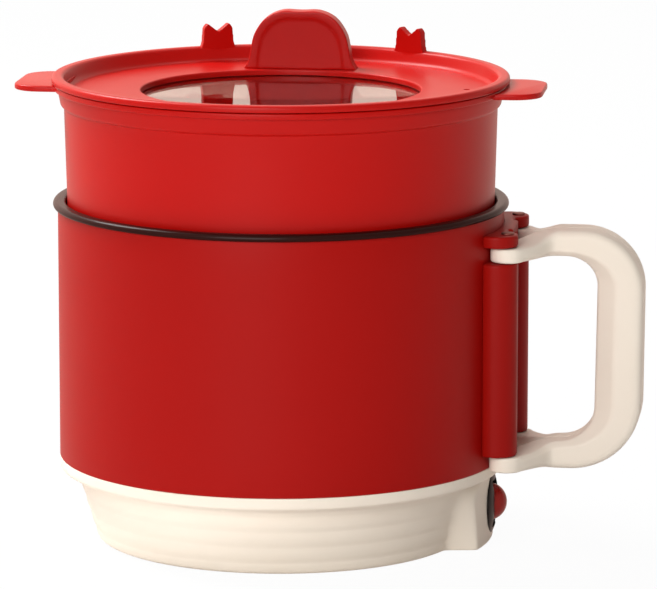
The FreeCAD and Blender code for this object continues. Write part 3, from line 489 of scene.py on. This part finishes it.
tubSize = {"outside": [(0, 96.0), (72.4, 96.0, 3.0), (72.4, 112.3, 0.3), (76.3, 112.3, 0.8),
                       (77.5, 157.1, 0.3)],
           "collar": [(78.7, 157.9, 0.55), (79.5, 162.0, 0.8), (79.6, 163.2, 0.25)],
           "flange": [(81.0, 163.2, 0.45), (81.0, 165.4, 0.6), (78.3, 165.4, 0.5)],
           "inside": [(78.3, 160.6, 0.9), (75.6, 157.6, 1.6), (74.3, 114.3, 0.6), (70.4, 114.3, 0.6),
                      (70.4, 98.0, 2.0), (0, 98.0)]}
earSize = {"inner": 76.0, "reach": 94.6, "half": 20.0, "corner": 10.0, "low": 162.8, "top": 164.9,
           "edge": 0.55}
drainSize = {"radius": 3.0, "pitch": 18.0, "counts": (6, 12, 18), "low": 94.0, "top": 100.0}


def makeSteamer():
    ear, drain = earSize, drainSize
    profile = tubSize["outside"] + tubSize["collar"] + tubSize["flange"] + tubSize["inside"]
    tub = spun(profile, closed=False, steps=256, cuts=2)
    corners = [(ear["inner"], -ear["half"]), (ear["reach"], -ear["half"], ear["corner"]),
               (ear["reach"], ear["half"], ear["corner"]), (ear["inner"], ear["half"])]
    for turn in (0, 180):
        flap = softEdges(plate(corners, ear["top"] - ear["low"], "XY"), ear["edge"], 3,
                         lambda e: max(v.co.x for v in e.verts) > ear["inner"] + 0.1
                         and abs(e.verts[0].co.z - e.verts[1].co.z) < 0.1)
        tub = combined(tub, placed(flap, (0, 0, ear["low"]), turn), "UNION")
    drains = []
    for ring, count in enumerate(drain["counts"], 1):
        away = drain["pitch"] * ring
        for index in range(count):
            angle = math.tau * index / count
            spot = (away * math.cos(angle), away * math.sin(angle), 0)
            drains.append(placed(rod(drain["radius"], drain["low"], drain["top"], 24), spot))
    tub = combined(tub, gathered(*drains), "DIFFERENCE")
    newPiece("SteamerTub", tub, "steamer", "red_plastic", redPlastic, "steamer_tub", sharpAngle=35)


makeSteamer()
print("steamer made")


# lid: ring with sunk floor and two lugs, upright tab, window

lidSize = {"underside": [(50.0, 160.65, 0.2), (50.45, 160.65), (50.45, 161.2), (77.9, 161.2, 0.4),
                         (77.9, 165.7, 0.2)],
           "rim": [(81.8, 165.7, 0.5), (81.8, 168.2, 1.2), (77.8, 168.2, 1.1)],
           "floor": [(75.9, 162.8, 1.6), (50.0, 162.8, 0.7)],
           "vent": 1.2, "ventSpot": (66.1, 5.7, 0), "holeLow": 158.0, "holeTop": 170.0}
lugSize = {"turns": (25.2, -29.6), "reach": 80.4, "thick": 3.0, "base": 5.9, "foot": 1.2, "ankle": 2.6,
           "shoulder": 5.5, "drop": 1.7, "tip": 4.1, "low": 166.8, "top": 176.8, "notch": 3.2}
tabSize = {"front": 50.4, "thick": 7.6, "floor": 162.8, "top": 184.5, "dish": 0.4, "peg": 2.0,
           "pegHole": 2.1, "pegAside": 12.0, "pegBack": 54.2, "pegLow": 1.5, "pegTop": 1.0}
windowSize = {"radius": 54.0, "top": 160.5, "sag": 0.6, "steps": 8, "under": [(0, 157.0), (53.8, 157.5, 0.4)],
              "gasket": [(50.6, 160.5, 0.25), (54.0, 160.5), (54.0, 161.2), (50.6, 161.2, 0.25)]}


def makeLid():
    lid, lug, tab = lidSize, lugSize, tabSize
    ring = spun(lid["underside"] + lid["rim"] + lid["floor"], steps=256, cuts=2)
    ankle, neck = lug["low"] + lug["ankle"], lug["top"] - lug["drop"]
    foot = lug["base"] + lug["foot"]
    outline = [(-foot, lug["low"]), (foot, lug["low"]), (lug["base"], ankle, 1.2),
               (lug["shoulder"], neck, 0.8), (lug["tip"], lug["top"], 0.55),
               (0, lug["top"] - lug["notch"], 0.9),
               (-lug["tip"], lug["top"], 0.55), (-lug["shoulder"], neck, 0.8), (-lug["base"], ankle, 1.2)]
    for turn in lug["turns"]:
        horn = melted(plate(outline, lug["thick"], segments=4), 0.3, 3)
        placed(horn, (0, lug["reach"] - lug["thick"], 0))
        ring = combined(ring, placed(horn, turn=turn), "UNION")
    holes = [placed(rod(lid["vent"], lid["holeLow"], lid["holeTop"], 24), lid["ventSpot"])]
    for side in (-1, 1):
        hole = rod(tab["pegHole"], lid["holeLow"], lid["holeTop"], 24)
        holes.append(placed(hole, (tab["pegAside"] * side, tab["pegBack"], 0)))
    ring = combined(ring, gathered(*holes), "DIFFERENCE")
    newPiece("LidRing", ring, "lid", "red_plastic", redPlastic, "lid_ring", sharpAngle=35)


def bothSides(half):
    # an outline given from its foot to its middle, and the same mirrored
    return half + [(-point[0],) + point[1:] for point in reversed(half[:-1])]


def makeTab():
    tab = tabSize
    outline = bothSides([(20.9, tab["floor"]), (19.0, 165.2, 2.2), (18.2, 171.0, 3.0), (16.6, 177.6, 4.5),
                         (9.4, tab["top"] + 0.4, 5.6), (0, tab["top"] - 0.6, 3.0)])
    bm = plate(outline, tab["thick"], segments=8)
    hollow = bothSides([(16.4, tab["floor"] - 2), (15.9, 166.0), (15.2, 171.5, 3.0), (13.6, 176.6, 3.5),
                        (7.8, 181.8, 4.0), (0, 181.5, 2.0)])
    dish = placed(plate(hollow, 2 * tab["dish"], segments=6), (0, -tab["dish"], 0))
    bm = combined(bm, dish, "DIFFERENCE")
    pegs = []
    for side in (-1, 1):
        peg = rod(tab["peg"], tab["floor"] - tab["pegLow"], tab["floor"] + tab["pegTop"], 24)
        pegs.append(placed(peg, (tab["pegAside"] * side, tab["pegBack"] - tab["front"], 0)))
    bm = placed(melted(gathered(bm, *pegs), 0.4, 12), (0, tab["front"], 0))
    newPiece("LidTab", bm, "lid", "red_plastic", redPlastic, "lid_tab", sharpAngle=60)


def makeWindow():
    # the pane sags very slightly towards its middle
    size, sag = windowSize, []
    for step in range(size["steps"], -1, -1):
        drop = size["sag"] * (1 - (step / size["steps"]) ** 2)
        sag.append((size["radius"] * step / size["steps"], size["top"] - drop))
    glass = spun(size["under"] + sag, closed=False, steps=160)
    newPiece("WindowGlass", glass, "lid", "clear_glass", clearGlass, "window_glass")
    gasket = spun(size["gasket"], steps=128)
    newPiece("WindowGasket", gasket, "lid", "grey_rubber", greyRubber, "window_gasket")


makeLid()
makeTab()
makeWindow()
print("lid made")


# handle: two leaves of one loop, each on its own pin

loopSize = {"reach": 130.8, "lowReach": 130.4, "top": 114.8, "low": 28.4, "corner": 22.0, "lowCorner": 25.0,
            "inside": 114.2, "lowInside": 113.5, "holeTop": 105.5, "holeLow": 38.4, "holeCorner": 11.0,
            "lowHoleCorner": 12.5, "split": 0.15, "width": 9.4}
pinSpot = {"reach": 83.6, "spread": 21.5, "bore": 1.65, "boreLow": 20.0, "boreTop": 125.0, "knuckle": 6.0}
armSize = {"lean": 49.4, "start": 8.0, "bend": 92.5, "straight": 101.0, "growFrom": 86.0, "growOver": 15.0}
upperEar = {"out": 110.8, "in": 105.7}
lowerEar = {"out": 30.2, "in": 35.7}
armSkin = {"back": 1.3, "edge": 1.6, "bite": 1.3, "slope": 1.3}
barSkin = {"back": 0.7, "edge": 3.6, "bite": 2.2, "slope": 2.2}
gripSkin = {"back": 0.7, "edge": 3.6, "bite": 4.8, "slope": 7.0}


def ease(value):
    value = min(max(value, 0), 1)
    return value * value * (3 - 2 * value)


def blended(first, second, share):
    return {key: first[key] + (second[key] - first[key]) * share for key in first}


def roundedRing(corners, steps=6):
    # each corner (across, up, rounding) becomes a short curve
    ring = []
    for index, (across, up, rounding) in enumerate(corners):
        here = Vector((across, up))
        before = (Vector(corners[index - 1][:2]) - here).normalized() * rounding + here
        after = (Vector(corners[(index + 1) % len(corners)][:2]) - here).normalized() * rounding + here
        for step in range(steps + 1):
            share = step / steps
            ring.append(before * (1 - share) ** 2 + here * 2 * share * (1 - share) + after * share ** 2)
    return ring


def leafRing(outer, inner, lean, width, skin):
    # outer and inner lie on the split face; the section is drawn from there to the cheek
    outer, inner = Vector(outer), Vector(inner)
    height = (outer - inner).length
    up = (outer - inner) / height
    side = Vector((math.sin(lean), -math.cos(lean), 0))
    corners = [(0, height, skin["back"]), (width, height, skin["edge"]),
               (width, skin["slope"], skin["bite"] * 0.3), (width - skin["bite"], 0, skin["bite"] * 0.3),
               (0, 0, skin["back"])]
    return [inner + side * point.x + up * point.y for point in roundedRing(corners)]


def armRings(ear, outBar, inBar, steps=16):
    # from the pin, leaning towards the middle, until it runs along the bar
    size, pin, arm = loopSize, pinSpot, armSize
    middle = -size["split"] - size["width"] / 2
    start = Vector((pin["reach"], -pin["spread"]))
    lead = Vector((arm["start"], arm["start"] * math.tan(math.radians(arm["lean"]))))
    curve = [start, start + lead, Vector((arm["bend"], middle)), Vector((arm["straight"], middle))]
    rings = []
    for step in range(steps + 1):
        share = step / steps
        rest = 1 - share
        spot = (curve[0] * rest ** 3 + curve[1] * 3 * share * rest ** 2 + curve[2] * 3 * share ** 2 * rest
                + curve[3] * share ** 3)
        run = ((curve[1] - curve[0]) * rest ** 2 + (curve[2] - curve[1]) * 2 * share * rest
               + (curve[3] - curve[2]) * share ** 2)
        turn = math.atan2(run.y, run.x)
        width = 2 * pin["knuckle"] + (size["width"] - 2 * pin["knuckle"]) * ease(share)
        back = spot + Vector((-math.sin(turn), math.cos(turn))) * width / 2
        grown = ease((spot.x - arm["growFrom"]) / arm["growOver"])
        rings.append(leafRing((back.x, back.y, ear["out"] + (outBar - ear["out"]) * grown),
                              (back.x, back.y, ear["in"] + (inBar - ear["in"]) * grown),
                              turn, width, blended(armSkin, barSkin, grown)))
    return rings


def cornerRings(outReach, outLevel, outRadius, inReach, inLevel, inRadius, upper, steps=20):
    size, rings = loopSize, []
    sense = 1 if upper else -1
    for step in range(steps + 1):
        angle = math.pi / 2 * step / steps
        side, up = math.sin(angle), sense * math.cos(angle)
        outer = (outReach - outRadius * (1 - side), -size["split"], outLevel + outRadius * (up - sense))
        inner = (inReach - inRadius * (1 - side), -size["split"], inLevel + inRadius * (up - sense))
        rings.append(leafRing(outer, inner, 0, size["width"], blended(barSkin, gripSkin, ease(step / steps))))
    return rings if upper else rings[::-1]


def swept(rings):
    # a ring of points drawn from station to station and capped at both ends
    bm = bmesh.new()
    corners = [bm.verts.new(point) for point in rings[0]]
    edges = [bm.edges.new(pair) for pair in zip(corners, corners[1:] + corners[:1])]
    bmesh.ops.contextual_create(bm, geom=edges)
    for ring in rings[1:]:
        order = {vert: index for index, vert in enumerate(corners)}
        drawn = bmesh.ops.extrude_edge_only(bm, edges=edges)["geom"]
        edges = [item for item in drawn if isinstance(item, bmesh.types.BMEdge)
                 and not any(vert in order for vert in item.verts)]
        moved = list(corners)
        for vert in [item for item in drawn if isinstance(item, bmesh.types.BMVert)]:
            source = next(e.other_vert(vert) for e in vert.link_edges if e.other_vert(vert) in order)
            vert.co = ring[order[source]]
            moved[order[source]] = vert
        corners = moved
    bmesh.ops.contextual_create(bm, geom=edges)
    bmesh.ops.recalc_face_normals(bm, faces=bm.faces[:])
    return bm


def makeHandle():
    size, pin = loopSize, pinSpot
    rings = armRings(upperEar, size["top"], size["holeTop"])
    rings += cornerRings(size["reach"], size["top"], size["corner"], size["inside"], size["holeTop"],
                         size["holeCorner"], True)
    rings += cornerRings(size["lowReach"], size["low"], size["lowCorner"], size["lowInside"], size["holeLow"],
                         size["lowHoleCorner"], False)
    rings += armRings(lowerEar, size["low"], size["holeLow"])[::-1]
    leaf = swept(rings)
    for ear in (upperEar, lowerEar):
        low, high = sorted((ear["out"], ear["in"]))
        knuckle = softEdges(rod(pin["knuckle"], low, high, 64), 0.9, 4)
        leaf = combined(leaf, placed(knuckle, (pin["reach"], -pin["spread"], 0)), "UNION")
    bore = rod(pin["bore"], pin["boreLow"], pin["boreTop"], 32)
    leaf = combined(leaf, placed(bore, (pin["reach"], -pin["spread"], 0)), "DIFFERENCE")
    mirrored = leaf.copy()
    bmesh.ops.scale(mirrored, vec=(1, -1, 1), verts=mirrored.verts[:])
    bmesh.ops.recalc_face_normals(mirrored, faces=mirrored.faces[:])
    newPiece("HandleLeafFront", leaf, "handle_front", "cream_plastic", creamPlastic, "handle_leaf_front",
             sharpAngle=60)
    newPiece("HandleLeafBack", mirrored, "handle_back", "cream_plastic", creamPlastic, "handle_leaf_back",
             sharpAngle=60)


makeHandle()
print("handle made")


# bracket on the body, with its two pins

bracketSize = {"inside": 76.0, "half": 10.0, "front": 84.5, "webFront": 83.0, "railCentre": 80.2,
               "railRadius": 7.2, "low": 36.0, "railTop": 105.4, "flangeLow": 111.1, "flangeTop": 115.4,
               "wall": 80.15, "boreLow": 20.0, "boreTop": 130.0}
pinProfile = [(0, 29.9), (1.6, 29.9, 0.3), (1.6, 115.4), (2.3, 115.4, 0.1), (2.3, 116.1, 0.45), (0, 116.1)]


def makeBracket():
    size = bracketSize
    shapes = [block((size["inside"], -size["half"], size["low"]),
                    (size["front"], size["half"], size["flangeTop"]))]
    for side in (-1, 1):
        near, far = sorted((size["half"] * side, pinSpot["spread"] * side))
        for low, high in ((size["low"], size["railTop"]), (size["flangeLow"], size["flangeTop"])):
            rail = rod(size["railRadius"], low, high)
            shapes.append(placed(rail, (size["railCentre"], pinSpot["spread"] * side, 0)))
            shapes.append(block((size["inside"], near, low), (size["webFront"], far, high)))
    bm = melted(gathered(*shapes), 0.5, 3)
    bores = [rod(size["wall"], size["boreLow"], size["boreTop"], 256)]
    for side in (-1, 1):
        bore = rod(pinSpot["bore"], size["boreLow"], size["boreTop"], 32)
        bores.append(placed(bore, (pinSpot["reach"], pinSpot["spread"] * side, 0)))
    bm = combined(bm, gathered(*bores), "DIFFERENCE")
    newPiece("HandleBracket", bm, "pot", "red_plastic", bracketRed, "handle_bracket", sharpAngle=50)
    for side, name in ((-1, "Front"), (1, "Back")):
        pin = spun(pinProfile, closed=False, steps=32)
        placed(pin, (pinSpot["reach"], pinSpot["spread"] * side, 0))
        newPiece("HingePin" + name, pin, "pot", "zinc_steel", steelPaintedReflection, "hinge_pin_" + name.lower())


makeBracket()
print("bracket made")


# switch: domed bezel with a slot, and the rocker in it

switchSize = {"height": 14.0, "bezel": 11.5, "barrel": 10.0, "back": 55.0, "face": 76.0, "front": 78.0,
              "slotHalf": 6.0, "slotRise": 8.5, "slotFrom": 60.0, "slotTo": 80.0, "pivot": 66.0,
              "middle": 75.3, "dome": (6.7, 5.6, 6.9), "domeBack": 72.0, "stem": 3.6, "stemBack": 2.5,
              "trunnion": 1.2, "trunnionReach": 7.6}


def makeBezel():
    size = switchSize
    barrel = [(0, size["back"]), (size["barrel"], size["back"], 0.6), (size["barrel"], size["face"], 0.1)]
    dome = [(size["bezel"], size["face"], 0.1), (size["bezel"] - 0.1, size["face"] + 0.5, 0.3),
            (size["bezel"] - 1.5, size["face"] + 1.3, 0.9), (size["slotHalf"] + 1.6, size["front"], 0.7),
            (0, size["front"])]
    bezel = spun(barrel + dome, closed=False, steps=96)
    bezel = placed(bezel, (0, 0, size["height"]), 90, "Y")
    slot = block((size["slotFrom"], -size["slotHalf"], size["height"] - size["slotRise"]),
                 (size["slotTo"], size["slotHalf"], size["height"] + size["slotRise"]))
    softEdges(slot, 1.2, 4, lambda e: abs(e.verts[0].co.x - e.verts[1].co.x) > 1)
    bezel = combined(bezel, slot, "DIFFERENCE")
    newPiece("SwitchBezel", bezel, "pot", "black_plastic", blackPlastic, "switch_housing", sharpAngle=35)


def makeRocker():
    size = switchSize
    dome = bmesh.new()
    bmesh.ops.create_uvsphere(dome, u_segments=48, v_segments=32, radius=1.0)
    bmesh.ops.scale(dome, vec=size["dome"], verts=dome.verts[:])
    placed(dome, (size["middle"], 0, size["height"]))
    sliced = bmesh.ops.bisect_plane(dome, geom=dome.verts[:] + dome.edges[:] + dome.faces[:],
                                    plane_co=(size["domeBack"], 0, 0), plane_no=(-1, 0, 0), clear_outer=True)
    rimEdges = [item for item in sliced["geom_cut"] if isinstance(item, bmesh.types.BMEdge)]
    bmesh.ops.contextual_create(dome, geom=rimEdges)
    stem = block((size["pivot"] - size["stemBack"], -size["stem"], size["height"] - size["stem"]),
                 (size["middle"], size["stem"], size["height"] + size["stem"]))
    axle = placed(rod(size["trunnion"], -size["trunnionReach"], size["trunnionReach"], 24),
                  (size["pivot"], 0, size["height"]), 90, "X")
    bm = combined(combined(dome, stem, "UNION"), axle, "UNION")
    newPiece("SwitchRocker", bm, "rocker", "red_switch", switchRed, "switch_rocker", sharpAngle=40)


makeBezel()
makeRocker()
print("switch made")


# power inlet at the back: rounded flange, funnelled mouth

inletSize = {"wide": 15.0, "tall": 7.5, "height": 14.0, "front": 74.0, "back": 54.0, "flange": 1.6,
             "lip": 1.5, "wall": 2.0, "floor": 59.0, "funnelWide": 1.04, "funnelTall": 0.08,
             "pitch": 6.5, "pin": 2.05, "pinLow": 50.0, "pinTop": 62.0}


def roundedBox(half, tall, front, back, rounding):
    corners = [(-half, -tall, rounding), (half, -tall, rounding),
               (half, tall, rounding), (-half, tall, rounding)]
    return placed(plate(corners, front - back), (0, back, inletSize["height"]))


def makeInlet():
    size = inletSize
    case = roundedBox(size["wide"] - 0.1, size["tall"] - 0.1, size["front"], size["back"], 2.0)
    face = size["front"] + size["flange"]
    flange = roundedBox(size["wide"] + size["lip"], size["tall"] + size["lip"], face,
                        size["front"] - 0.02, 3.0)
    flange = softEdges(flange, 0.6, 3, lambda e: min(v.co.y for v in e.verts) > face - 0.1)
    bm = combined(case, flange, "UNION")
    mouth = roundedBox(size["wide"] - size["wall"], size["tall"] - size["wall"], face + 1.0,
                       size["floor"], 3.4)
    for vert in mouth.verts:
        if vert.co.y > face:
            vert.co.x *= size["funnelWide"]
            vert.co.z += (vert.co.z - size["height"]) * size["funnelTall"]
    bm = combined(bm, mouth, "DIFFERENCE")
    bores = []
    for side in (-1, 1):
        bore = placed(rod(size["pin"], size["pinLow"], size["pinTop"], 32), turn=-90, axis="X")
        bores.append(placed(bore, (size["pitch"] * side, 0, size["height"])))
    bm = combined(bm, gathered(*bores), "DIFFERENCE")
    newPiece("PowerInlet", bm, "pot", "black_plastic", blackPlastic, "power_inlet", sharpAngle=40)


makeInlet()
print("inlet made")


# inner and hidden pieces keep their solids and get a finish

nodeFinish = {
    "base_plate": creamPlastic, "foot_pads": greyRubber, "base_screws": zincSteel,
    "heating_plate": castAluminium, "heating_element": elementSteel, "thermostat": zincSteel,
    "thermal_fuse": glassSleeve, "mounting_studs": zincSteel, "inlet_pins": brassPins, "live_lead": leadBrown,
    "element_lead": leadBrown, "neutral_lead": leadBlue, "bracket_screws": zincSteel,
    "glass_retainer": redPlastic, "retainer_screws": zincSteel}
for nodeName, material in nodeFinish.items():
    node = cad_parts[nodeName]
    node.data.materials.clear()
    node.data.materials.append(material)
bare = [name for name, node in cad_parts.items() if not node.hide_render and name not in nodeFinish]
print("inner pieces finished; left bare:", bare)


# floor, light and camera

studio = {"worldLight": 0.18, "floorReach": 8.0, "floorTone": (0.8, 0.8, 0.8, 1.0), "floorGlow": 0.96,
          "roomTint": (1.0, 0.74, 0.64, 1.0), "roomLevel": 1.25, "roomLean": 0.4}
lamps = {"KeyLamp": {"spot": (-0.3, -1.83, 0.78), "aim": (0, 0, 0.09), "size": 1.2, "power": 26.0},
         "SideLamp": {"spot": (-1.2, 0.5, 1.5), "aim": (0, 0, 0.09), "size": 1.0, "power": 52.0},
         "TopLamp": {"spot": (0.1, 0.4, 1.6), "aim": (0, 0, 0.12), "size": 1.2, "power": 6.0}}
white = (1.0, 1.0, 1.0, 1.0)


def seenRays(tree, rays):
    # camera, mirrored and see-through rays: everything but the light that falls on the pieces
    seen = mathNode(tree, "MAXIMUM", rays.outputs["Is Camera Ray"], rays.outputs["Is Glossy Ray"])
    return mathNode(tree, "MAXIMUM", seen, rays.outputs["Is Transmission Ray"])


def makeFloor():
    bm = bmesh.new()
    bmesh.ops.create_grid(bm, x_segments=2, y_segments=2, size=studio["floorReach"])
    mesh = bpy.data.meshes.new("Floor")
    bm.to_mesh(mesh)
    bm.free()
    floor = bpy.data.objects.new("Floor", mesh)
    bpy.context.scene.collection.objects.link(floor)
    material = bpy.data.materials.new("PaleFloor")
    material.use_nodes = True
    tree = material.node_tree
    tree.nodes.remove(tree.nodes["Principled BSDF"])
    matt = tree.nodes.new("ShaderNodeBsdfDiffuse")
    matt.inputs["Color"].default_value = studio["floorTone"]
    glow = tree.nodes.new("ShaderNodeEmission")
    rays = tree.nodes.new("ShaderNodeLightPath")
    tone = mixColour(tree, rays.outputs["Is Glossy Ray"], white, studio["roomTint"])
    tree.links.new(tone, glow.inputs["Color"])
    blendNode = tree.nodes.new("ShaderNodeMixShader")
    share = mathNode(tree, "MULTIPLY", seenRays(tree, rays), studio["floorGlow"])
    tree.links.new(share, blendNode.inputs[0])
    tree.links.new(matt.outputs[0], blendNode.inputs[1])
    tree.links.new(glow.outputs[0], blendNode.inputs[2])
    tree.links.new(blendNode.outputs[0], tree.nodes["Material Output"].inputs["Surface"])
    floor.data.materials.append(material)


def makeWorld():
    # shiny pieces mirror a warm room, lighter on the left; the picture itself stays white behind them
    world = bpy.data.worlds.new("Studio")
    bpy.context.scene.world = world
    world.use_nodes = True
    tree = world.node_tree
    sky = tree.nodes["Background"]
    rays = tree.nodes.new("ShaderNodeLightPath")
    mirrored = rays.outputs["Is Glossy Ray"]
    where = tree.nodes.new("ShaderNodeTexCoord")
    parts = tree.nodes.new("ShaderNodeSeparateXYZ")
    tree.links.new(where.outputs["Generated"], parts.inputs[0])
    room = mathNode(tree, "MULTIPLY_ADD", parts.outputs["X"], -studio["roomLean"], studio["roomLevel"] - 1)
    tree.links.new(mixColour(tree, mirrored, white, studio["roomTint"]), sky.inputs["Color"])
    seen = seenRays(tree, rays)
    level = mathNode(tree, "MULTIPLY_ADD", seen, 1 - studio["worldLight"], studio["worldLight"])
    level = mathNode(tree, "MULTIPLY_ADD", mirrored, room, level)
    tree.links.new(level, sky.inputs["Strength"])


def addLamp(name, spot, aim, size, power):
    lamp = bpy.data.lights.new(name, "AREA")
    lamp.shape, lamp.size, lamp.energy = "DISK", size, power
    holder = bpy.data.objects.new(name, lamp)
    holder.location = spot
    holder.rotation_mode = "QUATERNION"
    holder.rotation_quaternion = (Vector(aim) - Vector(spot)).to_track_quat("-Z", "Y")
    bpy.context.scene.collection.objects.link(holder)


cameraView = {"distance": 1.8, "elevation": 10.42, "azimuth": 7.3, "focalPixels": 5001.0, "imageWidth": 657,
              "sensor": 36.0, "aside": 0.017, "height": 0.08794, "sight": 60.0}


def makeCamera():
    view = cameraView
    turn, tilt = math.radians(view["azimuth"]), math.radians(view["elevation"])
    back = Vector((math.sin(turn) * math.cos(tilt), -math.cos(turn) * math.cos(tilt), math.sin(tilt)))
    target = Vector((view["aside"] * math.cos(turn), view["aside"] * math.sin(turn), view["height"]))
    data = bpy.data.cameras.new("PhotoCamera")
    data.sensor_width = view["sensor"]
    data.lens = view["focalPixels"] * view["sensor"] / view["imageWidth"]
    data.clip_end = view["sight"]
    camera = bpy.data.objects.new("PhotoCamera", data)
    camera.location = target + back * view["distance"]
    camera.rotation_mode = "QUATERNION"
    camera.rotation_quaternion = (-back).to_track_quat("-Z", "Y")
    bpy.context.scene.collection.objects.link(camera)
    bpy.context.scene.camera = camera


makeFloor()
makeWorld()
for lampName, lamp in lamps.items():
    addLamp(lampName, lamp["spot"], lamp["aim"], lamp["size"], lamp["power"])
makeCamera()
bpy.context.scene.view_settings.view_transform = "Standard"
